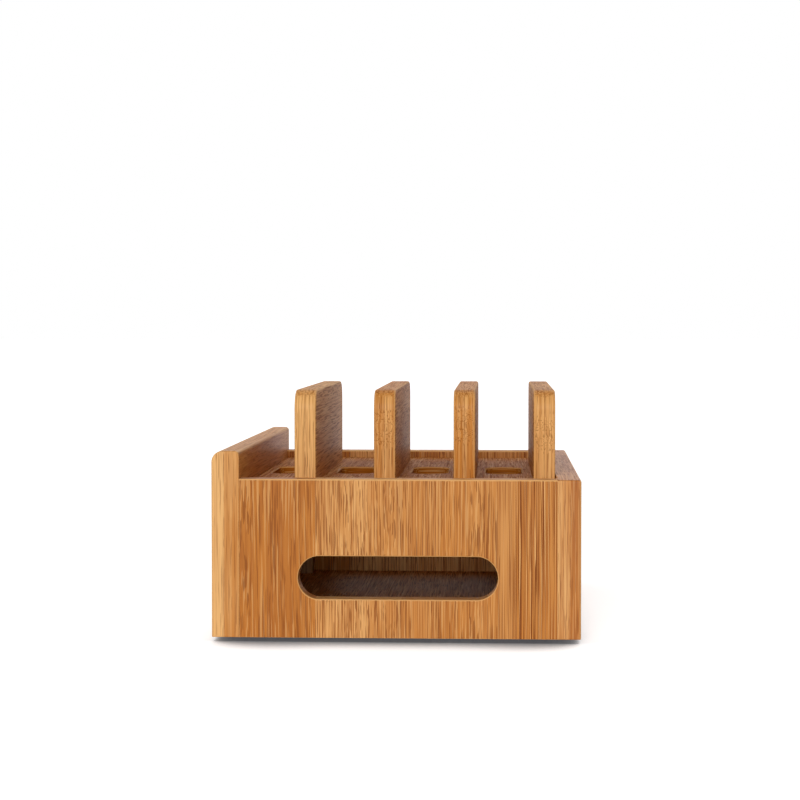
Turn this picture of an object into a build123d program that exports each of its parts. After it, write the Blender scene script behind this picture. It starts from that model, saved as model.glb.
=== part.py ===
from build123d import *
import os

# Charging station organizer: a bamboo box that hides a charger, with a deck of upright dividers that
# lifts out of it. Millimetres. +Z is up, and the origin lies on the surface that the box stands on,
# under its middle. The raised front board is at -Y, the device lanes run along X, and the box's right
# is +X.

# The box
box_width = 172.0
box_depth = 133.0
rim_height = 57.3
lip_rise = 10.0
front_thickness = 10.0
back_thickness = 8.5
side_thickness = 8.0
lip_front_radius = 4.0
lip_back_radius = 1.5
board_arris = 0.8
end_chamfer = 0.5

# The bottom, let in between the walls
base_thickness = 4.0
base_clearance = 0.25

# The long cable slot in each side panel
side_slot_length = 72.0
side_slot_height = 15.5
side_slot_sill = 14.0
side_slot_chamfer = 0.6

# The deck that lifts out
deck_thickness = 6.0
deck_recess = 3.0
deck_clearance = 0.25
deck_chamfer = 0.5
cable_slot_length = 38.0
cable_slot_margin = 3.5
dado_depth = 1.5

# The dividers on the deck
divider_count = 4
divider_thickness = 8.0
divider_rise = 34.3
divider_end_gap = 14.7
divider_corner_radius = 7.5
divider_chamfer = 0.8
front_lane_width = 17.75

# What holds the box together
block_size = 12.0
block_corner_radius = 3.0
dowel_diameter = 4.0
dowel_depth_in_board = 5.5
dowel_depth_in_panel = 12.5
dowel_chamfer = 0.5
dowel_inset = 10.0
dowel_end_room = 0.5
dowel_flutes = 12

# Countersunk wood screws, so small that flat sides stand for their rounds
screw_sides = 16
screw_shank_diameter = 3.0
screw_head_diameter = 6.0
screw_head_depth = 1.5
screw_head_sink = 0.3
screw_tip_length = 3.0
screw_tip_diameter = 0.6
base_screw_length = 16.0
divider_screw_length = 18.0
divider_screw_inset = 22.0

# Stick-on rubber feet
foot_diameter = 10.0
foot_height = 1.5
foot_edge_chamfer = 0.4
foot_gap = 2.5

# Fits
glue_gap = 0.05
hole_clearance = 0.1
overrun = 2.0
hair = 0.001

# Where the surfaces lie
wood_bottom_z = foot_height
base_top_z = wood_bottom_z + base_thickness
rim_z = wood_bottom_z + rim_height
deck_top_z = rim_z - deck_recess
deck_bottom_z = deck_top_z - deck_thickness
dado_floor_z = deck_top_z - dado_depth
slot_centre_z = wood_bottom_z + side_slot_sill + side_slot_height / 2
base_screw_z = wood_bottom_z + screw_head_sink
divider_screw_z = deck_bottom_z + screw_head_sink
front_face_y = -box_depth / 2
back_face_y = box_depth / 2
bay_front_y = front_face_y + front_thickness
bay_back_y = back_face_y - back_thickness
bay_centre_y = (bay_front_y + bay_back_y) / 2
bay_depth = bay_back_y - bay_front_y
bay_half_width = box_width / 2 - side_thickness
deck_back_y = bay_back_y - deck_clearance

# Lanes and dividers: the front lane has its own width, and the others share what is left alike.
divider_length = 2 * (bay_half_width - divider_end_gap)
first_divider_y = bay_front_y + front_lane_width
spare_depth = deck_back_y - first_divider_y - divider_count * divider_thickness
lane_width = spare_depth / (divider_count - 1)
divider_pitch = lane_width + divider_thickness
divider_front_ys = [first_divider_y + index * divider_pitch for index in range(divider_count)]
lane_front_ys = [bay_front_y] + [front_y + divider_thickness for front_y in divider_front_ys[:-1]]
lane_spans = list(zip(lane_front_ys, divider_front_ys))

# The four corners of the box, as the signs of their X and Y
corners = {
    "front_right": (1, -1),
    "front_left": (-1, -1),
    "back_right": (1, 1),
    "back_left": (-1, 1),
}

on_its_bottom = (Align.CENTER, Align.CENTER, Align.MIN)
under_its_top = (Align.CENTER, Align.CENTER, Align.MAX)


def section(width, height, corner_radii):
    """Rectangle from the origin, with a radius for each corner: low near, low far, high far, high near."""
    outline = Rectangle(width, height, align=(Align.MIN, Align.MIN))
    points = [(0, 0), (width, 0), (width, height), (0, height)]
    for point, radius in zip(points, corner_radii):
        if radius > 0:
            outline = fillet(outline.vertices().sort_by_distance(point)[0], radius)
    return outline


def ease_mouths(body, cutter, direction, chamfer_size):
    """Chamfer the mouths that a cutter has left where it went through a body along a direction."""
    across = body.edges().filter_by(direction, reverse=True)
    mouths = [edge for edge in across if cutter.distance_to(edge @ 0.5) < hair]
    return chamfer(mouths, chamfer_size)


def flat_sided_pin(sides, stations):
    """A closed pin along Z with flat sides, from the radius and height of each of its stations."""
    turns = [360 * index / sides for index in range(sides)]
    rings = [[Vector(radius, 0, z).rotate(Axis.Z, turn) for turn in turns] for radius, z in stations]
    outlines = [rings[0], rings[-1]]
    for low, high in zip(rings, rings[1:]):
        outlines += [[low[i - 1], low[i], high[i], high[i - 1]] for i in range(sides)]
    return Solid(Shell([Face(Wire.make_polygon(outline)) for outline in outlines]))


def at_places(form, places, z):
    """Copies of a form at each of the X and Y places, all at one height."""
    return [Pos(x, y, z) * form for x, y in places]


def block_middle(side, end):
    """X and Y of the middle of the corner block at one corner."""
    wall_y = bay_front_y if end < 0 else bay_back_y
    return side * (bay_half_width - block_size / 2), wall_y - end * block_size / 2


def base_screw_places():
    """X and Y of the base screws, one into the middle of each corner block."""
    return [block_middle(side, end) for side, end in corners.values()]


def divider_screw_places(front_y):
    """X and Y of the two screws up into one divider."""
    x = divider_length / 2 - divider_screw_inset
    return [(side * x, front_y + divider_thickness / 2) for side in (-1, 1)]


def dowel_places():
    """X and Z of the dowels in one board: two in the end of each side panel."""
    panel_middle_x = bay_half_width + side_thickness / 2
    heights = (wood_bottom_z + dowel_inset, rim_z - dowel_inset)
    return [(side * panel_middle_x, z) for side in (1, -1) for z in heights]


def dowel_holes(face_y, inward, depth):
    """Holes for the dowels of a board or of both panels, drilled inward along Y from a face at face_y."""
    radius = dowel_diameter / 2 + hole_clearance
    drill = flat_sided_pin(dowel_flutes, [(radius, -overrun), (radius, depth + dowel_end_room)])
    return [Pos(x, face_y, z) * Rot(-90 * inward, 0, 0) * drill for x, z in dowel_places()]


def screw_form(length, growth=0, well=0):
    """Countersunk screw up along Z with its head's face at the origin, or, grown, the hole for it."""
    head = screw_head_diameter / 2 + growth
    shank = screw_shank_diameter / 2 + growth
    stations = [
        (head, 0),
        (shank, screw_head_depth),
        (shank, length - screw_tip_length),
        (screw_tip_diameter / 2 + growth, length + growth),
    ]
    if well > 0:
        stations.insert(0, (head, -well))
    return flat_sided_pin(screw_sides, stations)


def cross_board(thickness, height, corner_radii, front_y, joint_y, inward):
    """A board over the whole width, eased round its outline but for the edges of its joint face."""
    profile = section(thickness, height, corner_radii)
    board = extrude(Plane.YZ * profile, box_width)
    board = Pos(-box_width / 2, front_y, wood_bottom_z) * board
    ends = board.faces().filter_by(Axis.X).edges()
    outer_ends = [edge for edge in ends if abs((edge @ 0.5).Y - joint_y) > hair]
    board = chamfer(outer_ends, end_chamfer)
    return board - dowel_holes(joint_y, inward, dowel_depth_in_board)


def front_board():
    """The raised front board, with a fuller round along the top of its lip."""
    radii = (board_arris, 0, lip_back_radius, lip_front_radius)
    return cross_board(front_thickness, rim_height + lip_rise, radii, front_face_y, bay_front_y, -1)


def back_board():
    """The back board, level with the side panels."""
    radii = (0, board_arris, board_arris, board_arris)
    return cross_board(back_thickness, rim_height, radii, bay_back_y, bay_back_y, 1)


def side_panel():
    """The right side panel, drilled for its dowels, with the long round-ended cable slot."""
    profile = section(side_thickness, rim_height, (0, board_arris, board_arris, board_arris))
    panel = Pos(bay_half_width, bay_back_y, wood_bottom_z) * extrude(Plane.XZ * profile, bay_depth)
    outline = SlotOverall(side_slot_length, side_slot_height)
    slot = extrude(Plane.YZ * outline, side_thickness + 2 * overrun)
    slot = Pos(bay_half_width - overrun, bay_centre_y, slot_centre_z) * slot
    panel = ease_mouths(panel - slot, slot, Axis.X, side_slot_chamfer)
    holes = dowel_holes(bay_front_y, 1, dowel_depth_in_panel)
    holes += dowel_holes(bay_back_y, -1, dowel_depth_in_panel)
    return panel - holes


def base_panel():
    """The bottom, let in between the walls, with a countersunk hole under each corner block."""
    width = 2 * (bay_half_width - base_clearance)
    depth = bay_depth - 2 * base_clearance
    panel = Pos(0, bay_centre_y, wood_bottom_z) * Box(width, depth, base_thickness, align=on_its_bottom)
    hole = screw_form(base_screw_length, hole_clearance, screw_head_sink + overrun)
    return panel - at_places(hole, base_screw_places(), base_screw_z)


def corner_block(side, end):
    """One corner block between base and deck, rounded towards the bay and drilled for its screw."""
    outline = Rectangle(block_size, block_size)
    bay_corner = (-side * block_size / 2, -end * block_size / 2)
    outline = fillet(outline.vertices().sort_by_distance(bay_corner)[0], block_corner_radius)
    x, y = block_middle(side, end)
    block = Pos(x, y, base_top_z) * extrude(outline, deck_bottom_z - base_top_z)
    return block - Pos(x, y, base_screw_z) * screw_form(base_screw_length, hole_clearance)


def corner_dowels():
    """The dowels across the joints of the side panels with the front and back boards."""
    length = dowel_depth_in_board + dowel_depth_in_panel
    radius = dowel_diameter / 2
    stations = [
        (radius - dowel_chamfer, 0),
        (radius, dowel_chamfer),
        (radius, length - dowel_chamfer),
        (radius - dowel_chamfer, length),
    ]
    pin = flat_sided_pin(dowel_flutes, stations)
    pins = []
    for x, z in dowel_places():
        pins.append(Pos(x, bay_front_y - dowel_depth_in_board, z) * Rot(-90, 0, 0) * pin)
        pins.append(Pos(x, bay_back_y + dowel_depth_in_board, z) * Rot(90, 0, 0) * pin)
    return Compound(pins)


def base_screws():
    """The screws that hold the base panel to the corner blocks."""
    return Compound(at_places(screw_form(base_screw_length), base_screw_places(), base_screw_z))


def foot(side, end):
    """A stick-on rubber foot beside one corner block's screw, with its lower edge chamfered."""
    disc = Cylinder(foot_diameter / 2, foot_height, align=under_its_top)
    disc = chamfer(disc.faces().sort_by(Axis.Z)[0].edges(), foot_edge_chamfer)
    x, y = block_middle(side, end)
    inset = block_size / 2 + foot_gap + foot_diameter / 2
    return Pos(x - side * inset, y, wood_bottom_z) * disc


def deck_panel():
    """The deck: a cable slot in each lane, a dado for each divider and its screw holes from below."""
    width = 2 * (bay_half_width - deck_clearance)
    depth = bay_depth - 2 * deck_clearance
    panel = Pos(0, bay_centre_y, deck_bottom_z) * Box(width, depth, deck_thickness, align=on_its_bottom)
    panel = chamfer(panel.edges(), deck_chamfer)
    for lane_front_y, lane_back_y in lane_spans:
        outline = SlotOverall(cable_slot_length, lane_back_y - lane_front_y - 2 * cable_slot_margin)
        slot = extrude(outline, deck_thickness + 2 * overrun)
        slot = Pos(0, (lane_front_y + lane_back_y) / 2, deck_bottom_z - overrun) * slot
        panel = ease_mouths(panel - slot, slot, Axis.Z, deck_chamfer)
    hole = screw_form(divider_screw_length, hole_clearance, screw_head_sink + overrun)
    dado = Box(
        divider_length + 2 * glue_gap,
        divider_thickness + 2 * glue_gap,
        dado_depth + overrun,
        align=on_its_bottom,
    )
    for front_y in divider_front_ys:
        panel -= Pos(0, front_y + divider_thickness / 2, dado_floor_z) * dado
        panel -= at_places(hole, divider_screw_places(front_y), divider_screw_z)
    return panel


def divider(front_y):
    """An upright divider with round upper corners and chamfered arrises, drilled for its two screws."""
    radii = (0, 0, divider_corner_radius, divider_corner_radius)
    outline = section(divider_length, dado_depth + divider_rise, radii)
    board = extrude(Plane.XZ * outline, divider_thickness)
    board = Pos(-divider_length / 2, front_y + divider_thickness, dado_floor_z) * board
    arrises = [
        edge
        for edge in board.edges().filter_by(Axis.Y, reverse=True)
        if (edge @ 0.5).Z > dado_floor_z + hair
    ]
    board = chamfer(arrises, divider_chamfer)
    hole = screw_form(divider_screw_length, hole_clearance)
    return board - at_places(hole, divider_screw_places(front_y), divider_screw_z)


def divider_screws():
    """The screws that hold the dividers down on the deck."""
    places = [place for front_y in divider_front_ys for place in divider_screw_places(front_y)]
    return Compound(at_places(screw_form(divider_screw_length), places, divider_screw_z))


# Every piece under its own name
right_panel = side_panel()
pieces = {
    "front_board": front_board(),
    "back_board": back_board(),
    "right_side_panel": right_panel,
    "left_side_panel": mirror(right_panel, Plane.YZ),
    "base_panel": base_panel(),
    "corner_dowels": corner_dowels(),
    "base_screws": base_screws(),
    "deck_panel": deck_panel(),
    "divider_screws": divider_screws(),
}
for corner, (side, end) in corners.items():
    pieces[f"corner_block_{corner}"] = corner_block(side, end)
    pieces[f"foot_{corner}"] = foot(side, end)
for number, front_y in enumerate(divider_front_ys, start=1):
    pieces[f"divider_{number}"] = divider(front_y)

os.makedirs("parts", exist_ok=True)
for name, piece in pieces.items():
    export_step(piece, f"parts/{name}.step")
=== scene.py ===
"""Looks of the charging station organizer: bamboo boards, screws, rubber feet and a plain studio."""

import math

import bpy
from bpy.props import FloatProperty, FloatVectorProperty, IntProperty, PointerProperty
from bpy.types import Operator, Panel, PropertyGroup
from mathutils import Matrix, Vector


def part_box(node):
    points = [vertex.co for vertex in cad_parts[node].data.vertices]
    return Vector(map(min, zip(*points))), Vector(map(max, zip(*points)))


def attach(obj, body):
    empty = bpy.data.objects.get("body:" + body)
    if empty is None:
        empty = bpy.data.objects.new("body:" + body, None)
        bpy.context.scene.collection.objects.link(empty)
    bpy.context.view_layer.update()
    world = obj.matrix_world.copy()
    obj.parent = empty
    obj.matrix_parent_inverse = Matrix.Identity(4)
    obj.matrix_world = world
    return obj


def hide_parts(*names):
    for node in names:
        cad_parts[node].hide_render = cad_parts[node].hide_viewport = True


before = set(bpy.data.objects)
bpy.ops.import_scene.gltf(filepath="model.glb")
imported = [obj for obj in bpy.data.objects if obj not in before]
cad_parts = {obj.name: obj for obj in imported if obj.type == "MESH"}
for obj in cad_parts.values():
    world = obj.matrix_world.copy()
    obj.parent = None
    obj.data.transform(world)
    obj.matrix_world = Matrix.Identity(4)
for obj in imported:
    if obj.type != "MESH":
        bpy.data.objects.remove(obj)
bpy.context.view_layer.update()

bl_info = {
    "name": "Charging Station Organizer",
    "version": (1, 0, 0),
    "blender": (4, 5, 0),
    "location": "3D View > Sidebar > Organizer",
    "description": "Models a bamboo charging station organizer on its packed frame",
    "category": "Object",
}

MM = 0.001
X, Y, Z = 0, 1, 2
# How far from a plane or a line a point may be and still lie on it
HAIR = 0.02 * MM
# In degrees: an edge that turns by more than the first counts as sharp, and the surfaces on both sides
# of one that turns by less than the others are shaded as one
SHARP_FROM = 30
SMOOTH_BELOW = 35
SCREW_SMOOTH_BELOW = 40
WHITE = (1.0, 1.0, 1.0)
# The stage, in metres, and the width of the camera's sensor, in millimetres
FLOOR_SIZE = 30
LAMP_DISTANCE = 2
NEAREST_IN_VIEW = 10 * MM
SENSOR_WIDTH = 36
# Where a Mix node keeps its share, its two colours and the colour between them
MIX_SHARE, MIX_FIRST, MIX_SECOND, MIX_COLOUR = 0, 6, 7, 2
BOX_BODY = "box"
DECK_BODY = "lift_out_deck"
DIVIDERS = sorted(
    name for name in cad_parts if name.startswith("divider_") and name[-1].isdigit()
)
CORNER_BLOCKS = sorted(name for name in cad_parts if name.startswith("corner_block_"))
FEET = sorted(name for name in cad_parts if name.startswith("foot_"))

# The strips that a side panel is glued up from after its first one: where each starts along Y, in
# millimetres, and how it differs from the first
SIDE_STAVES = (
    (-34.0, {"paler": 0.5, "longer": 0.9, "bolder": 0.9, "finer": 1.0}),
    (-29.0, {"paler": 1.35, "longer": 0.9, "bolder": 1.1, "finer": 1.2}),
    (2.0, {"paler": 0.95, "longer": 1.2, "bolder": 1.05, "finer": 1.2}),
    (37.5, {"paler": 1.1, "longer": 3.0, "bolder": 0.9, "finer": 1.2}),
    (43.0, {"paler": 0.85, "longer": 3.0, "bolder": 1.6, "finer": 1.6}),
)
SIDE_SEEDS = {"right_side_panel": 0.7, "left_side_panel": 2.9}
# For each divider, its tone and how high a growth ring swirls in its ends, in millimetres. The middle
# two tones are darker partly as painted shade, standing for the shade of the devices leaning on them.
DIVIDER_GRAIN = ((0.75, None), (0.28, 76.0), (0.20, 77.0), (0.42, 74.0))
DECK_AND_BASE_SEEDS = {"deck_panel": 3.3, "base_panel": 6.1}
# Each lamp's name, the property of the stage that gives its strength, the direction in which it
# stands, and its spread in degrees
LAMPS = (
    ("key", "key", (1.0, -0.06, 0.3), 30),
    ("fill", "fill", (-0.1, -1.0, 0.8), 60),
    ("back", "fill", (-0.9, 0.35, 0.7), 60),
)


def printed(red, green, blue):
    """A colour as seen on a screen, 0 to 255 a channel, in the linear values that shaders take."""
    shares = [channel / 255 for channel in (red, green, blue)]
    return tuple(s / 12.92 if s <= 0.04045 else ((s + 0.055) / 1.055) ** 2.4 for s in shares)


class BoardEasing(PropertyGroup):
    """How the edges of the boards are rounded."""

    arris: FloatProperty(
        name="Arris", description="Radius of a board's open edges", default=0.8 * MM, unit="LENGTH"
    )
    joint: FloatProperty(
        name="Joint", description="Radius of the edges that meet at a joint",
        default=0.12 * MM, unit="LENGTH",
    )
    foot_share: FloatProperty(
        name="Foot share", description="Share of the arris along a board's lower edges",
        default=0.3, min=0, max=1,
    )
    lip_front: FloatProperty(
        name="Lip front", description="Radius on the front of the lip", default=4 * MM, unit="LENGTH"
    )
    lip_back: FloatProperty(
        name="Lip back", description="Radius on the lane side of the lip",
        default=1.5 * MM, unit="LENGTH",
    )
    divider_corner: FloatProperty(
        name="Divider corner", description="Radius of a divider's upper corners",
        default=7.5 * MM, unit="LENGTH",
    )
    slot_mouth: FloatProperty(
        name="Slot mouth", description="Radius round the mouths of the side panels' slots",
        default=0.6 * MM, unit="LENGTH",
    )


class SideSlot(PropertyGroup):
    """The long cable slot in each side panel."""

    length: FloatProperty(
        name="Length", description="From end to end", default=72 * MM, unit="LENGTH"
    )
    height: FloatProperty(
        name="Height", description="Across the slot", default=15.5 * MM, unit="LENGTH"
    )
    sill: FloatProperty(
        name="Sill", description="From the panel's lower edge to the slot",
        default=14 * MM, unit="LENGTH",
    )


class BambooLook(PropertyGroup):
    """The colours and grain of the laminated bamboo."""

    honey: FloatVectorProperty(
        name="Honey", description="The main colour", subtype="COLOR", size=3,
        default=printed(186, 114, 36),
    )
    caramel: FloatVectorProperty(
        name="Caramel", description="Darker fibres", subtype="COLOR", size=3,
        default=printed(154, 84, 18),
    )
    straw: FloatVectorProperty(
        name="Straw", description="Paler slats", subtype="COLOR", size=3,
        default=printed(226, 173, 108),
    )
    umber: FloatVectorProperty(
        name="Umber", description="Dashes, pores and glue lines", subtype="COLOR", size=3,
        default=printed(124, 62, 6),
    )
    slat: FloatProperty(
        name="Slat", description="Width of one slat", default=5.2 * MM, unit="LENGTH"
    )
    node_spacing: FloatProperty(
        name="Node spacing", description="Between growth nodes along a slat",
        default=240 * MM, unit="LENGTH",
    )
    gloss: FloatProperty(
        name="Gloss", description="Weight of the satin lacquer",
        default=0.12, min=0, max=1, subtype="FACTOR",
    )


class FittingsLook(PropertyGroup):
    """The colours of the hardwood, the screws and the feet."""

    block_pale: FloatVectorProperty(
        name="Block pale", description="Corner blocks between their rings", subtype="COLOR", size=3,
        default=printed(205, 170, 122),
    )
    block_dark: FloatVectorProperty(
        name="Block dark", description="Rings and pores of the corner blocks", subtype="COLOR", size=3,
        default=printed(160, 120, 76),
    )
    dowel_pale: FloatVectorProperty(
        name="Dowel pale", description="Dowels between their rings", subtype="COLOR", size=3,
        default=printed(222, 196, 152),
    )
    dowel_dark: FloatVectorProperty(
        name="Dowel dark", description="Rings and pores of the dowels", subtype="COLOR", size=3,
        default=printed(188, 154, 106),
    )
    steel_dark: FloatVectorProperty(
        name="Steel dark", description="The bluish patches of the plating", subtype="COLOR", size=3,
        default=printed(150, 152, 158),
    )
    steel_pale: FloatVectorProperty(
        name="Steel pale", description="The rest of the plating", subtype="COLOR", size=3,
        default=printed(196, 196, 190),
    )
    rubber: FloatVectorProperty(
        name="Rubber", description="The feet", subtype="COLOR", size=3, default=printed(38, 37, 36)
    )
    dust: FloatVectorProperty(
        name="Dust", description="Dust on the feet", subtype="COLOR", size=3,
        default=printed(92, 88, 82),
    )


class ScrewSizes(PropertyGroup):
    """The countersunk wood screws."""

    head: FloatProperty(
        name="Head", description="Diameter of the head", default=6 * MM, unit="LENGTH"
    )
    head_depth: FloatProperty(
        name="Head depth", description="Height of the head", default=1.5 * MM, unit="LENGTH"
    )
    core: FloatProperty(
        name="Core", description="Diameter between the threads", default=2.3 * MM, unit="LENGTH"
    )
    crest: FloatProperty(
        name="Crest", description="Diameter over the threads", default=3 * MM, unit="LENGTH"
    )
    pitch: FloatProperty(name="Pitch", description="Rise of one turn", default=1.3 * MM, unit="LENGTH")
    tip: FloatProperty(name="Tip", description="Length of the point", default=3 * MM, unit="LENGTH")
    steps: IntProperty(name="Steps", description="Sides of the round", default=32, min=8)


class FootSizes(PropertyGroup):
    """The stick-on rubber feet."""

    rim: FloatProperty(
        name="Rim", description="Radius round the lower face", default=0.45 * MM, unit="LENGTH"
    )
    glued_rim: FloatProperty(
        name="Glued rim", description="Radius round the upper face", default=0.1 * MM, unit="LENGTH"
    )
    dish_steps: IntProperty(name="Dish steps", description="Steps of the dish below", default=2, min=0)
    dish_width: FloatProperty(
        name="Dish width", description="Width of each step", default=0.9 * MM, unit="LENGTH"
    )
    dish_rise: FloatProperty(
        name="Dish rise", description="Rise of each step", default=0.12 * MM, unit="LENGTH"
    )
    steps: IntProperty(name="Steps", description="Sides of the round", default=64, min=8)


class StageLook(PropertyGroup):
    """Camera, lamps and backdrop."""

    camera: FloatVectorProperty(
        name="Camera", description="Where it stands", subtype="XYZ", unit="LENGTH", size=3,
        default=(0.7906, 0.0364, 0.1138),
    )
    aim: FloatVectorProperty(
        name="Aim", description="What it looks at", subtype="XYZ", unit="LENGTH", size=3,
        default=(0.086, 0.0016, 0.0873),
    )
    lens: FloatProperty(name="Lens", description="Focal length in millimetres", default=88.77)
    ambient: FloatProperty(name="Ambient", description="Light from all round", default=0.3, min=0)
    key: FloatProperty(name="Key", description="Light from the camera's side", default=2.08, min=0)
    fill: FloatProperty(name="Fill", description="Light from front and back", default=0.35, min=0)
    floor: FloatVectorProperty(
        name="Floor", description="Colour of the floor", subtype="COLOR", size=3,
        default=(0.86, 0.86, 0.86),
    )
    floor_glow: FloatProperty(
        name="Floor glow", description="What the floor shows beyond its light", default=0.6
    )
    # The colour of the painted contact shadow on the floor
    painted_contact_shadow: FloatVectorProperty(
        name="Contact", description="The floor where it is fully sheltered", subtype="COLOR", size=3,
        default=(0.045, 0.045, 0.05),
    )
    contact_reach: FloatProperty(
        name="Contact reach", description="How far the shelter of a piece is felt",
        default=30 * MM, unit="LENGTH",
    )
    contact_samples: IntProperty(
        name="Contact samples", description="Rays that look for shelter", default=24, min=1
    )


# Shader maths


class Value:
    """One output socket of a finish, so that sums of sockets and numbers read as ordinary sums."""

    def __init__(self, finish, socket):
        self.finish = finish
        self.socket = socket

    def combined(self, operation, *numbers):
        return self.finish.value("ShaderNodeMath", {"operation": operation}, dict(enumerate(numbers)))

    def __add__(self, other):
        return self.combined("ADD", self, other)

    __radd__ = __add__

    def __sub__(self, other):
        return self.combined("SUBTRACT", self, other)

    def __rsub__(self, other):
        return self.combined("SUBTRACT", other, self)

    def __mul__(self, other):
        return self.combined("MULTIPLY", self, other)

    def __truediv__(self, other):
        return self.combined("DIVIDE", self, other)

    def __abs__(self):
        return self.combined("ABSOLUTE", self)

    def towards(self, other, share):
        """This value where share is 0, and the other where it is 1."""
        return self + (other - self) * share

    def floor(self):
        return self.combined("FLOOR", self)

    def fraction(self):
        return self.combined("FRACT", self)

    def greatest(self, other):
        return self.combined("MAXIMUM", self, other)

    def ramp(self, low, high):
        """0 below low and 1 above high with a smooth rise between, or a fall if low is above high."""
        if low > high:
            return 1 - self.ramp(high, low)
        sockets = {"Value": self, "From Min": low, "From Max": high}
        return self.finish.value("ShaderNodeMapRange", {"interpolation_type": "SMOOTHSTEP"}, sockets)


class Finish:
    """A procedural material or backdrop in the making."""

    def __init__(self, owner, output="ShaderNodeOutputMaterial"):
        owner.use_nodes = True
        self.owner = owner
        self.tree = owner.node_tree
        self.tree.nodes.clear()
        self.output = self.node(output)

    def node(self, kind, settings=None, sockets=None):
        """A node with its settings made first, then its sockets' values or links."""
        node = self.tree.nodes.new(kind)
        for setting, choice in (settings or {}).items():
            setattr(node, setting, choice)
        self.feed(node, sockets or {})
        return node

    def feed(self, node, sockets):
        """Give sockets their numbers, colours without alpha, or links."""
        for key, given in sockets.items():
            socket = node.inputs[key]
            if isinstance(given, Value):
                given = given.socket
            if isinstance(given, bpy.types.NodeSocket):
                self.tree.links.new(given, socket)
            else:
                socket.default_value = (*given, 1.0) if socket.type == "RGBA" else given

    def result(self, kind, settings=None, sockets=None, output=0):
        """The output socket of a new node."""
        return self.node(kind, settings, sockets).outputs[output]

    def value(self, kind, settings=None, sockets=None, output=0):
        """The output of a new node, for sums."""
        return Value(self, self.result(kind, settings, sockets, output))

    def show(self, shader):
        """Make a shader what is seen of the finish."""
        self.feed(self.output, {"Surface": shader})
        return self.owner

    def ray(self, *kinds):
        """1 for rays of any of these kinds, and 0 for others."""
        path = self.node("ShaderNodeLightPath")
        first, *others = [Value(self, path.outputs[f"Is {kind} Ray"]) for kind in kinds]
        for other in others:
            first = first.greatest(other)
        return first

    def position(self):
        """X, Y and Z on the piece at rest, in millimetres."""
        place = self.result("ShaderNodeTexCoord", output="Object")
        parts = self.node("ShaderNodeSeparateXYZ", {}, {0: place})
        return [Value(self, parts.outputs[axis]) / MM for axis in (X, Y, Z)]

    def slope(self, axis):
        """1 where the surface faces along an axis, and 0 where it lies along it."""
        normal = self.result("ShaderNodeNewGeometry", output="Normal")
        return abs(self.value("ShaderNodeSeparateXYZ", {}, {0: normal}, axis))

    def facing(self, axis):
        """1 on the faces across an axis."""
        return self.slope(axis).ramp(0.55, 0.85)

    def turning(self, axis):
        """1 on the rounded edges of the faces across an axis."""
        slope = self.slope(axis)
        return slope.ramp(0.1, 0.4) * slope.ramp(0.97, 0.8)

    def point(self, x, y, z):
        return self.result("ShaderNodeCombineXYZ", {}, {0: x, 1: y, 2: z})

    def noise(self, x, y, z, detail=2.0, roughness=0.5):
        """Noise from 0 to 1 over a point given in its own units."""
        sockets = {
            "Vector": self.point(x, y, z), "Scale": 1.0, "Detail": detail, "Roughness": roughness
        }
        return self.value("ShaderNodeTexNoise", {"noise_dimensions": "3D"}, sockets)

    def chance(self, x, y):
        """A steady random number from 0 to 1 for each point."""
        sockets = {"Vector": self.point(x, y, 0)}
        return self.value("ShaderNodeTexWhiteNoise", {"noise_dimensions": "3D"}, sockets)

    def blend(self, share, first, second):
        """A colour between two colours."""
        sockets = {MIX_SHARE: share, MIX_FIRST: first, MIX_SECOND: second}
        return self.result("ShaderNodeMix", {"data_type": "RGBA"}, sockets, MIX_COLOUR)

    def mix(self, share, first, second):
        """A shader between two shaders."""
        return self.result("ShaderNodeMixShader", {}, {0: share, 1: first, 2: second})

    def bump(self, height, strength, depth):
        sockets = {"Height": height, "Strength": strength, "Distance": depth}
        return self.result("ShaderNodeBump", {}, sockets)

    def principled(self, sockets):
        return self.result("ShaderNodeBsdfPrincipled", {}, sockets)


def strip_traits(across, staves):
    """The traits of the strip at each place across a board, and 1 at the joints between strips.

    At each joint the traits of a strip take over from those of the one before it.
    """
    traits = {"paler": 0.0, "longer": 1.0, "bolder": 1.0, "finer": 1.0}
    joint = 0.0
    half_blur = 0.1
    joint_edge, joint_core = 0.25, 0.05
    for start, changes in staves:
        there = across.ramp(start - half_blur, start + half_blur)
        for trait, amount in changes.items():
            traits[trait] = there * (amount - traits[trait]) + traits[trait]
        joint = abs(across - start).ramp(joint_edge, joint_core) + joint
    return traits, joint


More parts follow.
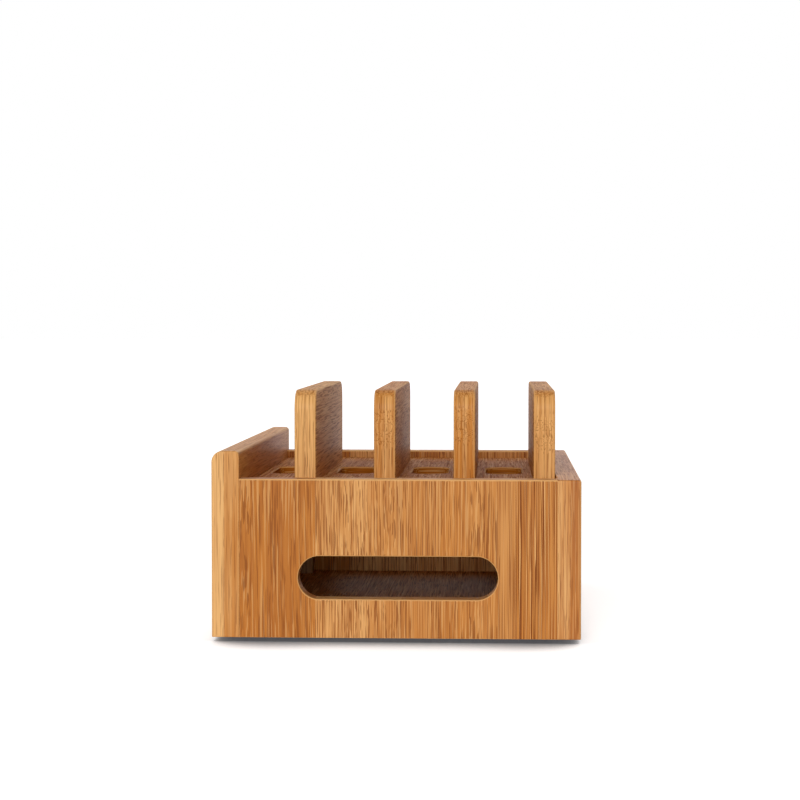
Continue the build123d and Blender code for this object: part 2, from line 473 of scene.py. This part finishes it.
def bamboo(
    name, grain, face, middle, tone=0.0, ply_tones=(0.0, 0.0), seed=0.0, knot=None, figure=1.0,
    edge_wear_and_highlight=0.5, rungs=1.0, lacquer=1.0, staves=(),
):
    """Laminated bamboo with its grain along one axis and its broad faces across another.

    middle is the place of the glue line between the board's two plies, and ply_tones are how much
    paler each ply is than tone. knot is the place across the grain at which a growth ring swirls in
    the board's ends. figure is the strength of the fine lines, edge_wear_and_highlight is how pale
    the rounded edges are, partly as sanded wear and partly as a painted highlight on the arrises,
    rungs is how plain the growth nodes across the slats are, and lacquer is how strong the satin
    coat and the sheen under it are. staves are the strips that the board is glued up from after its
    first one, in order, each with the place where it starts, how much paler it is than the first,
    and how many times longer, bolder and finer its lines are.

    Places are in millimetres. In a noise, what divides a place is the length of the pattern, what
    multiplies it makes the pattern finer, and what is added to it keeps patterns apart.
    """
    look = bpy.context.scene.bamboo_look
    finish = Finish(bpy.data.materials.new(name))
    place = finish.position()
    along = place[grain]
    thick = place[face] - middle
    across = place[X + Y + Z - grain - face]
    end_face = finish.facing(grain)
    off_end = 1 - end_face

    # Slats, whose fibres wander a little, each with a tone and a start of its own
    wander_width, wander_length, wander_reach = 22, 90, 1.2
    wander = finish.noise(
        across / wander_width + seed, along / wander_length, thick / wander_width, 1.0
    )
    fibre = across + (wander - 0.5) * wander_reach
    slat_place = fibre / (look.slat / MM) + seed * 7
    slat_number = slat_place.floor()
    slat_tone = finish.chance(slat_number, seed + 0.5)
    start = finish.chance(slat_number, seed + 5.5) * 9
    slat_edge = abs((slat_place.fraction() - 0.5) * 2)

    stave, joint = strip_traits(across, staves)
    figure = stave["bolder"] * figure

    # Fibres on the faces: long faint ones, and dark and pale dashes that are longer in some slats
    shortest_dash, dash_spread = 8, 14
    fine_closeness, dark_closeness, pale_closeness = 1.5, 1.9, 1.5
    fine_length, band_width, band_length, broad_width, broad_length = 40, 2.2, 110, 45, 60
    reach = (shortest_dash + finish.chance(slat_number, seed + 2.5) * dash_spread) * stave["longer"]
    line = fibre * stave["finer"]
    fine = finish.noise(
        line * fine_closeness, along / fine_length + start * 5, thick * fine_closeness, 1.0, 0.6
    )
    dark_dashes = finish.noise(
        line * dark_closeness + 20, along / reach + start * 7, thick * dark_closeness, 1.0
    )
    pale_dashes = finish.noise(
        line * pale_closeness + 40, along / reach / 2 + start * 3, thick * pale_closeness, 1.0
    )
    bands = finish.noise(
        fibre / band_width, along / band_length + start * 2, thick / band_width, 2.0
    )
    broad = finish.noise(
        across / broad_width + seed * 3, along / broad_length, thick / broad_width, 1.0
    )

    # On the ends the plies show edge on, as long smooth streaks that swirl round a knot.
    knot_reach, calm_swirl, knot_swirl = 8, 0.25, 2.6
    end_dash, knot_shortening = 14, 9
    swirl = finish.noise(across / 6 + seed * 5, thick / 2.5, seed, 1.0) - 0.5
    gathered = (abs(across - knot) / knot_reach).ramp(1.0, 0.1) if knot is not None else 0.0
    streak = thick + swirl * (calm_swirl + gathered * knot_swirl)
    fine = fine.towards(finish.noise(streak * 1.5, across / 40, seed, 2.0, 0.6), end_face)
    dash_length = end_dash - gathered * knot_shortening
    end_dark = finish.noise(streak * 2.2, across / dash_length, seed + 3, 1.0)
    dark_dashes = dark_dashes.towards(end_dark - 0.03 + gathered * 0.03, end_face)
    pale_dashes = pale_dashes.towards(finish.noise(streak * 1.6, across / 40, seed + 8, 1.0), end_face)
    bands = bands.towards(finish.noise(streak / 2, across / 90, seed + 6, 1.0), end_face)

    # The two plies, and the glue line between them, which wavers and fades in places
    glue_share, glue_waver, glue_edge, glue_core = 0.45, 0.5, 0.26, 0.06
    ply = thick.ramp(-0.1, 0.1)
    ply_tone = ply * (ply_tones[1] - ply_tones[0]) + ply_tones[0]
    gap = finish.noise(across / 5 + seed, thick, along / 20, 1.0)
    from_glue = abs(thick + (gap - 0.5) * glue_waver)
    glue = from_glue.ramp(glue_edge, glue_core) * gap.ramp(0.35, 0.6) * glue_share

    # Tone first, from board to band, then the lines upon it, each kind with its own strength
    fine_share, pale_share, dark_share, seam_share = 0.5, 0.4, 0.65, 0.22
    rung_share, rung_side_share = 0.42, 0.3
    base_paleness = 0.18
    paleness = base_paleness + (ply_tone + tone + stave["paler"]) * (0.45 + end_face * 0.55)
    uneven = (bands - 0.5) * (0.3 + end_face * 0.6) + (broad - 0.5) * (0.3 + end_face * 0.4)
    paleness = paleness + uneven + (slat_tone - 0.5) * 0.2 * off_end
    colour = finish.blend(paleness.ramp(0.0, 1.0), look.honey, look.straw)
    colour = finish.blend(paleness.ramp(0.12, -0.6) * 0.8, colour, look.caramel)
    colour = finish.blend(fine.ramp(0.53, 0.42) * figure * fine_share, colour, look.caramel)
    pale_mask = pale_dashes.ramp(0.54, 0.61) * figure * pale_share
    colour = finish.blend(pale_mask, colour, look.straw)
    dark_mask = dark_dashes.ramp(0.56, 0.61) * figure * dark_share
    colour = finish.blend(dark_mask, colour, look.umber)
    seam = (slat_edge.ramp(0.90, 1.0) + joint) * seam_share * off_end
    colour = finish.blend(seam, colour, look.umber)

    # A growth node crosses each slat at a place of its own, as a thin dark rung with a paler side.
    rung_edge, rung_core, side_place, side_edge, side_core = 0.75, 0.2, 1.7, 1.5, 0.3
    stretch = look.node_spacing / MM
    rung_place = (along + start * 53 + slat_edge * slat_edge) / stretch
    from_rung = (rung_place.fraction() - 0.5) * stretch
    rung = abs(from_rung).ramp(rung_edge, rung_core) * off_end * (rungs * rung_share)
    beside_rung = abs(from_rung - side_place).ramp(side_edge, side_core)
    pale_side = beside_rung * off_end * (rungs * rung_side_share)
    colour = finish.blend(pale_side, colour, look.straw)
    colour = finish.blend(rung, colour, look.umber)
    colour = finish.blend(glue, colour, look.umber)
    # The rounded edges are painted paler: partly sanded wear, partly a painted highlight on the
    # arrises.
    colour = finish.blend(finish.turning(face) * edge_wear_and_highlight, colour, look.straw)

    grooves = fine * 0.4 - dark_mask - seam - glue - rung
    lacquered = {
        "Base Color": colour,
        "Roughness": 0.46 + (1 - fine) * 0.16 + dark_mask * 0.2,
        "Specular IOR Level": 0.16 * lacquer,
        "Coat Weight": look.gloss * lacquer,
        "Coat Roughness": 0.3,
        "Normal": finish.bump(grooves, 0.25, 0.1 * MM),
    }
    return finish.show(finish.principled(lacquered))


def plain_wood(name, pale, dark, grain=Z):
    """Turned or sawn hardwood for the parts that hold the box together."""
    finish = Finish(bpy.data.materials.new(name))
    place = finish.position()
    along = place[grain]
    others = [place[axis] for axis in (X, Y, Z) if axis != grain]
    rings = finish.noise(others[0] / 1.4, others[1] / 1.4, along / 30, 3.0, 0.6)
    pores = finish.noise(others[0] * 2.5, others[1] * 2.5, along / 6, 2.0)
    colour = finish.blend(rings.ramp(0.35, 0.68), dark, pale)
    colour = finish.blend(pores.ramp(0.62, 0.75) * 0.4, colour, dark)
    sawn = {
        "Base Color": colour,
        "Roughness": 0.5 + pores * 0.2,
        "Normal": finish.bump(rings - pores * 0.4, 0.3, 0.1 * MM),
    }
    return finish.show(finish.principled(sawn))


def screw_steel():
    """Zinc-plated steel, a little uneven in colour, gloss and surface."""
    look = bpy.context.scene.fittings_look
    finish = Finish(bpy.data.materials.new("screw_steel_plated"))
    x, y, z = finish.position()
    mottle = finish.noise(x * 1.2, y * 1.2, z * 1.2, 3.0)
    colour = finish.blend(mottle.ramp(0.3, 0.7), look.steel_dark, look.steel_pale)
    plated = {
        "Base Color": colour,
        "Metallic": 1.0,
        "Roughness": 0.28 + mottle * 0.2,
        "Normal": finish.bump(finish.noise(x * 4, y * 4, z * 4), 0.2, 0.05 * MM),
    }
    return finish.show(finish.principled(plated))


def foot_rubber():
    """Dark moulded rubber with a fine grain and a little dust."""
    look = bpy.context.scene.fittings_look
    finish = Finish(bpy.data.materials.new("foot_rubber_grained"))
    x, y, z = finish.position()
    grain = finish.noise(x * 5, y * 5, z * 5, 2.0)
    dust = finish.noise(x / 2, y / 2, z / 2, 3.0).ramp(0.5, 0.75)
    colour = finish.blend(dust * 0.35, look.rubber, look.dust)
    moulded = {
        "Base Color": colour,
        "Roughness": 0.62 + grain * 0.2,
        "Normal": finish.bump(grain, 0.4, 0.06 * MM),
    }
    return finish.show(finish.principled(moulded))


# Modelling


def choose(*pieces):
    """Select only these pieces, the first one active."""
    if bpy.context.mode != "OBJECT":
        bpy.ops.object.mode_set(mode="OBJECT")
    bpy.ops.object.select_all(action="DESELECT")
    for piece in pieces:
        piece.select_set(True)
    bpy.context.view_layer.objects.active = pieces[0]


def fix_in_place(piece, name):
    """Put a piece's place and size into its mesh, and name it."""
    piece.name = name
    piece.data.name = name
    choose(piece)
    bpy.ops.object.transform_apply(location=True, rotation=True, scale=True)
    return piece


def block(name, low, high):
    """A squared block between two corners."""
    bpy.ops.object.select_all(action="DESELECT")
    low, high = Vector(low), Vector(high)
    bpy.ops.mesh.primitive_cube_add(size=1, location=(low + high) / 2, scale=high - low)
    return fix_in_place(bpy.context.object, name)


def sharp_edges(piece):
    """The edges at which a piece's surface turns, each with the places of its two ends."""
    choose(piece)
    bpy.ops.object.mode_set(mode="EDIT")
    bpy.ops.mesh.select_mode(type="EDGE")
    bpy.ops.mesh.select_all(action="DESELECT")
    bpy.ops.mesh.edges_select_sharp(sharpness=math.radians(SHARP_FROM))
    bpy.ops.object.mode_set(mode="OBJECT")
    vertices = piece.data.vertices
    sharp = [edge for edge in piece.data.edges if edge.select]
    return [(edge, [vertices[end].co for end in edge.vertices]) for edge in sharp]


def select_faces(piece, wanted):
    """Go into edit mode with only the wanted faces of a piece selected."""
    choose(piece)
    bpy.ops.object.mode_set(mode="EDIT")
    bpy.ops.mesh.select_mode(type="FACE")
    bpy.ops.mesh.select_all(action="DESELECT")
    bpy.ops.object.mode_set(mode="OBJECT")
    for face in piece.data.polygons:
        face.select = wanted(face)
    bpy.ops.object.mode_set(mode="EDIT")


def round_edges(piece, radius, segments, wanted):
    """Round off the sharp edges that are wanted, which is told from an edge's two ends."""
    picked = [edge.index for edge, ends in sharp_edges(piece) if wanted(*ends)]
    bpy.ops.object.mode_set(mode="EDIT")
    bpy.ops.mesh.select_all(action="DESELECT")
    bpy.ops.object.mode_set(mode="OBJECT")
    for index in picked:
        piece.data.edges[index].select = True
    bpy.ops.object.mode_set(mode="EDIT")
    bpy.ops.mesh.bevel(offset=radius, segments=segments, profile=0.5, affect="EDGES")
    bpy.ops.object.mode_set(mode="OBJECT")


def apply_modifier(piece, kind, **settings):
    choose(piece)
    modifier = piece.modifiers.new(kind.title(), kind)
    for setting, choice in settings.items():
        setattr(modifier, setting, choice)
    bpy.ops.object.modifier_apply(modifier=modifier.name)


def cut(piece, *cutters):
    """Take the cutters out of a piece and throw them away."""
    for cutter in cutters:
        apply_modifier(piece, "BOOLEAN", operation="DIFFERENCE", solver="EXACT", object=cutter)
        bpy.data.objects.remove(cutter)


def ease(piece, radius, share):
    """Round every sharp edge by its share of a radius, which share gives from the edge's two ends."""
    shares = {edge.index: share(*ends) for edge, ends in sharp_edges(piece)}
    weights = piece.data.attributes.new("bevel_weight_edge", "FLOAT", "EDGE")
    for index, weight in shares.items():
        weights.data[index].value = weight
    apply_modifier(
        piece, "BEVEL", width=radius, segments=3, limit_method="WEIGHT", use_clamp_overlap=False
    )


def smooth(piece):
    """Shade the rounds smooth and keep the large faces flat."""
    choose(piece)
    bpy.ops.object.shade_smooth_by_angle(angle=math.radians(SMOOTH_BELOW))
    apply_modifier(piece, "WEIGHTED_NORMAL", keep_sharp=True)


def lies_at(axis, level, *points):
    """Whether all points lie on a plane across an axis."""
    return all(abs(point[axis] - level) < HAIR for point in points)


def runs(axis, first, second):
    """Whether an edge runs along an axis."""
    return all(abs(first[other] - second[other]) < HAIR for other in (X, Y, Z) if other != axis)


def stadium(name, low, high, through):
    """A cutter with round ends, which goes through along one axis."""
    cutter = block(name, low, high)
    sizes = [high[axis] - low[axis] for axis in (X, Y, Z) if axis != through]
    # Exactly half would leave the flat between two rounds no width.
    nearly_half = 0.4995
    round_edges(
        cutter, min(sizes) * nearly_half, segments=18,
        wanted=lambda first, second: runs(through, first, second),
    )
    return cutter


def middle_of(low, high, axis):
    """The middle of a box along an axis, in millimetres."""
    return (low[axis] + high[axis]) / 2 / MM


def end_board_share(easing, low, joint_y, open_share):
    """How much of the arris each edge of an end board gets, whose inner face is at joint_y."""

    def share(first, second):
        if lies_at(Y, joint_y, first, second):
            return easing.joint / easing.arris
        return easing.foot_share if lies_at(Z, low.z, first, second) else open_share

    return share


def hand_over(piece, material, body, slot, *nodes):
    """Give a piece its material and its place in the frame."""
    piece.data.materials.clear()
    piece.data.materials.append(material)
    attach(piece, body)
    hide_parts(*nodes)


def paint(node, material):
    """Give a node of the frame a material."""
    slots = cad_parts[node].data.materials
    slots.clear()
    slots.append(material)


# Pieces


class ORGANIZER_OT_front_board(Operator):
    """Model the raised front board with its rounded lip."""

    bl_idname = "organizer.front_board"
    bl_label = "Front Board"

    def execute(self, context):
        easing = context.scene.board_easing
        low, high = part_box("front_board")
        board = block("front_board_bamboo", low, high)
        round_edges(
            board, easing.lip_front, segments=10,
            wanted=lambda a, b: lies_at(Y, low.y, a, b) and lies_at(Z, high.z, a, b),
        )
        round_edges(
            board, easing.lip_back, segments=5,
            wanted=lambda a, b: lies_at(Y, high.y, a, b) and lies_at(Z, high.z, a, b),
        )
        ease(board, easing.arris, end_board_share(easing, low, joint_y=high.y, open_share=0.8))
        smooth(board)
        glue_line = middle_of(low, high, Y) - 0.4
        finish = bamboo(
            "bamboo_front_board", X, Y, glue_line, tone=0.20, ply_tones=(0.55, 0.10), seed=1.3,
            figure=0.6,
        )
        hand_over(board, finish, BOX_BODY, "bamboo", "front_board")
        return {"FINISHED"}


class ORGANIZER_OT_back_board(Operator):
    """Model the back board, level with the side panels."""

    bl_idname = "organizer.back_board"
    bl_label = "Back Board"

    def execute(self, context):
        easing = context.scene.board_easing
        low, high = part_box("back_board")
        board = block("back_board_bamboo", low, high)
        ease(board, easing.arris, end_board_share(easing, low, joint_y=low.y, open_share=1.0))
        smooth(board)
        glue_line = middle_of(low, high, Y) + 0.4
        finish = bamboo(
            "bamboo_back_board", X, Y, glue_line, tone=0.04, ply_tones=(0.13, -0.58), seed=4.1,
            figure=0.85, lacquer=1.5,
        )
        hand_over(board, finish, BOX_BODY, "bamboo", "back_board")
        return {"FINISHED"}


class ORGANIZER_OT_side_panels(Operator):
    """Model the two side panels with their long cable slots."""

    bl_idname = "organizer.side_panels"
    bl_label = "Side Panels"

    def execute(self, context):
        easing = context.scene.board_easing
        slot = context.scene.side_slot
        for node, seed in SIDE_SEEDS.items():
            low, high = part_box(node)
            panel = block(f"{node}_bamboo", low, high)
            middle_y = (low.y + high.y) / 2
            sill_z = low.z + slot.sill
            overshoot = Vector((slot.height, 0, 0))
            cutter = stadium(
                "slot_cutter",
                Vector((low.x, middle_y - slot.length / 2, sill_z)) - overshoot,
                Vector((high.x, middle_y + slot.length / 2, sill_z + slot.height)) + overshoot,
                X,
            )
            cut(panel, cutter)

            def share(first, second):
                if lies_at(Y, low.y, first, second) or lies_at(Y, high.y, first, second):
                    return easing.joint / easing.arris
                if lies_at(Z, low.z, first, second):
                    return easing.foot_share
                if lies_at(Z, high.z, first, second):
                    return 1.0
                return easing.slot_mouth / easing.arris

            ease(panel, easing.arris, share)
            smooth(panel)
            # The side panels' rounded edges, round the slots and along the top, get the strongest
            # painted highlight.
            finish = bamboo(
                f"bamboo_{node}", Z, X, middle_of(low, high, X), tone=-0.75, seed=seed, edge_wear_and_highlight=0.9,
                rungs=0.0, staves=SIDE_STAVES,
            )
            hand_over(panel, finish, BOX_BODY, "bamboo", node)
        return {"FINISHED"}


class ORGANIZER_OT_dividers(Operator):
    """Model the four dividers with their rounded upper corners."""

    bl_idname = "organizer.dividers"
    bl_label = "Dividers"

    def execute(self, context):
        easing = context.scene.board_easing
        for number, (node, (tone, knot)) in enumerate(zip(DIVIDERS, DIVIDER_GRAIN, strict=True)):
            low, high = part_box(node)
            board = block(f"{node}_bamboo", low, high)
            round_edges(
                board, easing.divider_corner, segments=14,
                wanted=lambda a, b: runs(Y, a, b) and lies_at(Z, high.z, a, b),
            )
            ease(board, easing.arris, lambda a, b: 0.0 if lies_at(Z, low.z, a, b) else 1.0)
            smooth(board)
            finish = bamboo(
                f"bamboo_{node}", X, Y, middle_of(low, high, Y), tone=tone, ply_tones=(0.0, 0.06),
                seed=1.7 * number, knot=knot, figure=0.8, lacquer=0.5,
            )
            hand_over(board, finish, DECK_BODY, "bamboo", node)
        return {"FINISHED"}


class ORGANIZER_OT_deck_and_base(Operator):
    """Finish the deck and the bottom of the box in bamboo, darker than the boards partly as painted
    shade.
    """

    bl_idname = "organizer.deck_and_base"
    bl_label = "Deck and Base"

    def execute(self, context):
        for node, seed in DECK_AND_BASE_SEEDS.items():
            low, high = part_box(node)
            middle = middle_of(low, high, Z)
            # tone=-0.8 paints the deck and the base much darker than the boards: partly painted shade,
            # standing for the shade of the devices over the deck and inside the closed box, as their
            # own tone is not known.
            paint(node, bamboo(f"bamboo_{node}", X, Z, middle, tone=-0.8, seed=seed, lacquer=0.2))
        return {"FINISHED"}


class ORGANIZER_OT_joinery(Operator):
    """Finish the corner blocks and the dowels in plain hardwood."""

    bl_idname = "organizer.joinery"
    bl_label = "Joinery"

    def execute(self, context):
        look = context.scene.fittings_look
        block_finish = plain_wood("block_hardwood", look.block_pale, look.block_dark)
        for node in CORNER_BLOCKS:
            paint(node, block_finish)
        paint("corner_dowels", plain_wood("dowel_hardwood", look.dowel_pale, look.dowel_dark, Y))
        return {"FINISHED"}


def threaded_screw(name, low_z, high_z):
    """A countersunk screw up along Z from its head's face at low_z, with cross recess and thread."""
    sizes = bpy.context.scene.screw_sizes
    length = high_z - low_z
    bpy.ops.object.select_all(action="DESELECT")
    bpy.ops.mesh.primitive_circle_add(
        vertices=sizes.steps, radius=sizes.head / 2, fill_type="NGON", location=(0, 0, low_z)
    )
    screw = bpy.context.object
    bpy.ops.object.mode_set(mode="EDIT")
    bpy.ops.mesh.select_all(action="SELECT")
    # The head's straight edge, its cone, the shank and the point: the height of each, and its width at
    # the top as a share of that at its bottom
    edge = 0.12 * MM
    neck = sizes.core / sizes.head
    bluntness = 0.12
    rises = (
        (edge, 1.0),
        (sizes.head_depth - edge, neck),
        (length - sizes.head_depth - sizes.tip, 1.0),
        (sizes.tip, bluntness),
    )
    for rise, growth in rises:
        bpy.ops.mesh.extrude_region_move(TRANSFORM_OT_translate={"value": (0, 0, rise)})
        bpy.ops.transform.resize(value=(growth, growth, 1))
    bpy.ops.mesh.select_all(action="SELECT")
    bpy.ops.mesh.normals_make_consistent(inside=False)
    bpy.ops.object.mode_set(mode="OBJECT")
    fix_in_place(screw, name)

    # The cross recess: two bars that taper into the head
    half_length = 0.28 * sizes.head
    half_width = 0.075 * sizes.head
    depth = 0.75 * sizes.head_depth
    taper = 0.6
    for half_x, half_y in ((half_length, half_width), (half_width, half_length)):
        recess = block("recess", (-half_x, -half_y, low_z - depth), (half_x, half_y, low_z + depth))
        select_faces(recess, lambda face: face.normal.z > 0.9)
        bpy.ops.transform.resize(value=(taper, taper, 1))
        bpy.ops.object.mode_set(mode="OBJECT")
        cut(screw, recess)

    # The thread: a three-sided ridge wound round the shank, from above the head into the point
    ridge_low = low_z + 1.6 * sizes.head_depth
    ridge_high = high_z - 0.75 * sizes.tip
    turns = int((ridge_high - ridge_low) / sizes.pitch)
    bpy.ops.object.select_all(action="DESELECT")
    bpy.ops.mesh.primitive_circle_add(
        vertices=3, radius=(sizes.crest - sizes.core) / 2, location=(sizes.core / 2, 0, ridge_low),
        rotation=(math.radians(90), math.radians(90), 0),
    )
    thread = fix_in_place(bpy.context.object, "thread")
    apply_modifier(
        thread, "SCREW", angle=math.tau, screw_offset=sizes.pitch, iterations=turns,
        steps=sizes.steps // 2, render_steps=sizes.steps // 2,
    )
    choose(thread)
    bpy.ops.object.mode_set(mode="EDIT")
    bpy.ops.mesh.select_all(action="SELECT")
    bpy.ops.mesh.fill_holes(sides=3)
    bpy.ops.mesh.select_all(action="SELECT")
    bpy.ops.mesh.normals_make_consistent(inside=False)
    bpy.ops.object.mode_set(mode="OBJECT")
    choose(screw, thread)
    bpy.ops.object.join()
    choose(screw)
    bpy.ops.object.shade_smooth_by_angle(angle=math.radians(SCREW_SMOOTH_BELOW))
    return screw


def screws_at(name, node, places):
    """Screws in all the places of a node, as one piece."""
    low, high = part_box(node)
    first = threaded_screw(name, low.z, high.z)
    copies = []
    for x, y in places:
        choose(first)
        bpy.ops.object.duplicate(linked=False)
        copy = bpy.context.object
        bpy.ops.transform.translate(value=(x, y, 0))
        copies.append(copy)
    bpy.data.objects.remove(first)
    choose(*copies)
    bpy.ops.object.join()
    return fix_in_place(bpy.context.object, name)


class ORGANIZER_OT_screws(Operator):
    """Model the screws under the base and under the dividers."""

    bl_idname = "organizer.screws"
    bl_label = "Screws"

    def execute(self, context):
        steel = screw_steel()
        half_head = context.scene.screw_sizes.head / 2
        low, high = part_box("base_screws")
        base_places = [
            (x, y)
            for x in (low.x + half_head, high.x - half_head)
            for y in (low.y + half_head, high.y - half_head)
        ]
        base = screws_at("base_screws_threaded", "base_screws", base_places)
        hand_over(base, steel, BOX_BODY, "screw_steel", "base_screws")
        low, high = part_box("divider_screws")
        divider_places = []
        for node in DIVIDERS:
            near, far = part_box(node)
            for x in (low.x + half_head, high.x - half_head):
                divider_places.append((x, (near.y + far.y) / 2))
        deck = screws_at("divider_screws_threaded", "divider_screws", divider_places)
        hand_over(deck, steel, DECK_BODY, "screw_steel", "divider_screws")
        return {"FINISHED"}


class ORGANIZER_OT_feet(Operator):
    """Model the stick-on rubber feet, each with a rounded rim and a shallow dish below."""

    bl_idname = "organizer.feet"
    bl_label = "Feet"

    def execute(self, context):
        sizes = context.scene.foot_sizes
        rubber = foot_rubber()
        for node in FEET:
            low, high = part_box(node)
            radius = (high.x - low.x) / 2
            bpy.ops.object.select_all(action="DESELECT")
            bpy.ops.mesh.primitive_cylinder_add(
                vertices=sizes.steps, radius=radius, depth=high.z - low.z, location=(low + high) / 2
            )
            foot = fix_in_place(bpy.context.object, f"{node}_rubber")
            round_edges(
                foot, sizes.rim, segments=4, wanted=lambda a, b: lies_at(Z, low.z, a, b)
            )
            round_edges(
                foot, sizes.glued_rim, segments=2, wanted=lambda a, b: lies_at(Z, high.z, a, b)
            )
            select_faces(foot, lambda face: face.normal.z < -0.99 and lies_at(Z, low.z, face.center))
            for _ in range(sizes.dish_steps):
                bpy.ops.mesh.inset(thickness=sizes.dish_width)
                bpy.ops.transform.translate(value=(0, 0, sizes.dish_rise))
            bpy.ops.object.mode_set(mode="OBJECT")
            smooth(foot)
            hand_over(foot, rubber, BOX_BODY, "foot_rubber", node)
        return {"FINISHED"}


def lamp(name, towards, strength, spread):
    """A distant soft lamp that stands in a direction from the object."""
    bpy.ops.object.light_add(type="SUN", location=Vector(towards).normalized() * LAMP_DISTANCE)
    light = bpy.context.object
    light.name = name
    light.data.energy = strength
    light.data.angle = math.radians(spread)
    light.rotation_euler = Vector(towards).to_track_quat("Z", "Y").to_euler()


def floor_finish(look):
    """A white floor, brighter to the eye than to the object, with a painted contact shadow where
    something shelters it.
    """
    finish = Finish(bpy.data.materials.new("floor_white"))
    lit = finish.principled({"Base Color": look.floor, "Roughness": 0.9})
    glow = finish.result("ShaderNodeEmission", {}, {"Color": WHITE, "Strength": look.floor_glow})
    lifted = finish.result("ShaderNodeAddShader", {}, {0: lit, 1: glow})
    # A dark glow where the floor is fully sheltered: a painted contact shadow, not one cast by the
    # lamps.
    dark = finish.result("ShaderNodeEmission", {}, {"Color": look.painted_contact_shadow})
    # Its normal leans towards -X, so that it finds most shelter on the floor before the near end,
    # where the painted contact shadow is to fall.
    lean = (-0.87, 0, 0.5)
    fully_sheltered, open_floor = 0.2, 0.78
    sockets = {"Distance": look.contact_reach, "Normal": finish.point(*lean)}
    settings = {"samples": look.contact_samples}
    shelter = finish.value("ShaderNodeAmbientOcclusion", settings, sockets, "AO")
    seen = finish.mix(shelter.ramp(fully_sheltered, open_floor), dark, lifted)
    return finish.show(finish.mix(finish.ray("Camera", "Glossy", "Transmission"), lit, seen))


def studio(look):
    """A white surround that lights the object less than it shows."""
    finish = Finish(bpy.data.worlds.new("studio"), "ShaderNodeOutputWorld")
    ambient = finish.result("ShaderNodeBackground", {}, {"Color": WHITE, "Strength": look.ambient})
    shown = finish.result("ShaderNodeBackground", {}, {"Color": WHITE, "Strength": 1.0})
    return finish.show(finish.mix(finish.ray("Camera", "Glossy", "Transmission"), ambient, shown))


class ORGANIZER_OT_stage(Operator):
    """Set up the floor, the light and the camera."""

    bl_idname = "organizer.stage"
    bl_label = "Stage"

    def execute(self, context):
        look = context.scene.stage_look
        bpy.ops.object.select_all(action="DESELECT")
        bpy.ops.mesh.primitive_plane_add(size=FLOOR_SIZE)
        floor = bpy.context.object
        floor.name = "floor"
        floor.data.materials.append(floor_finish(look))
        context.scene.world = studio(look)

        for name, strength, towards, spread in LAMPS:
            lamp(name, towards, getattr(look, strength), spread)

        bpy.ops.object.camera_add(location=look.camera)
        camera = bpy.context.object
        camera.name = "camera"
        sight = Vector(look.aim) - Vector(look.camera)
        camera.rotation_euler = sight.to_track_quat("-Z", "Y").to_euler()
        camera.data.lens = look.lens
        camera.data.sensor_width = SENSOR_WIDTH
        camera.data.clip_start = NEAREST_IN_VIEW
        context.scene.camera = camera
        context.scene.view_settings.view_transform = "Standard"
        return {"FINISHED"}


PROPERTY_GROUPS = {
    "board_easing": BoardEasing,
    "side_slot": SideSlot,
    "bamboo_look": BambooLook,
    "fittings_look": FittingsLook,
    "screw_sizes": ScrewSizes,
    "foot_sizes": FootSizes,
    "stage_look": StageLook,
}
OPERATORS = (
    ORGANIZER_OT_stage,
    ORGANIZER_OT_front_board,
    ORGANIZER_OT_back_board,
    ORGANIZER_OT_side_panels,
    ORGANIZER_OT_dividers,
    ORGANIZER_OT_deck_and_base,
    ORGANIZER_OT_joinery,
    ORGANIZER_OT_screws,
    ORGANIZER_OT_feet,
)


class ORGANIZER_PT_sidebar(Panel):
    """Sizes, colours and steps of the organizer."""

    bl_idname = "ORGANIZER_PT_sidebar"
    bl_label = "Charging Station Organizer"
    bl_space_type = "VIEW_3D"
    bl_region_type = "UI"
    bl_category = "Organizer"

    def draw(self, context):
        for attribute, group in PROPERTY_GROUPS.items():
            box = self.layout.box()
            for name in group.__annotations__:
                box.prop(getattr(context.scene, attribute), name)
        for operator in OPERATORS:
            self.layout.operator(operator.bl_idname)


def register():
    for group in PROPERTY_GROUPS.values():
        bpy.utils.register_class(group)
    for attribute, group in PROPERTY_GROUPS.items():
        setattr(bpy.types.Scene, attribute, PointerProperty(type=group))
    for operator in OPERATORS:
        bpy.utils.register_class(operator)
    bpy.utils.register_class(ORGANIZER_PT_sidebar)


def unregister():
    bpy.utils.unregister_class(ORGANIZER_PT_sidebar)
    for operator in reversed(OPERATORS):
        bpy.utils.unregister_class(operator)
    for attribute in PROPERTY_GROUPS:
        delattr(bpy.types.Scene, attribute)
    for group in PROPERTY_GROUPS.values():
        bpy.utils.unregister_class(group)


def main():
    register()
    for operator in OPERATORS:
        area, step = operator.bl_idname.split(".")
        getattr(getattr(bpy.ops, area), step)()


if __name__ == "__main__":
    main()
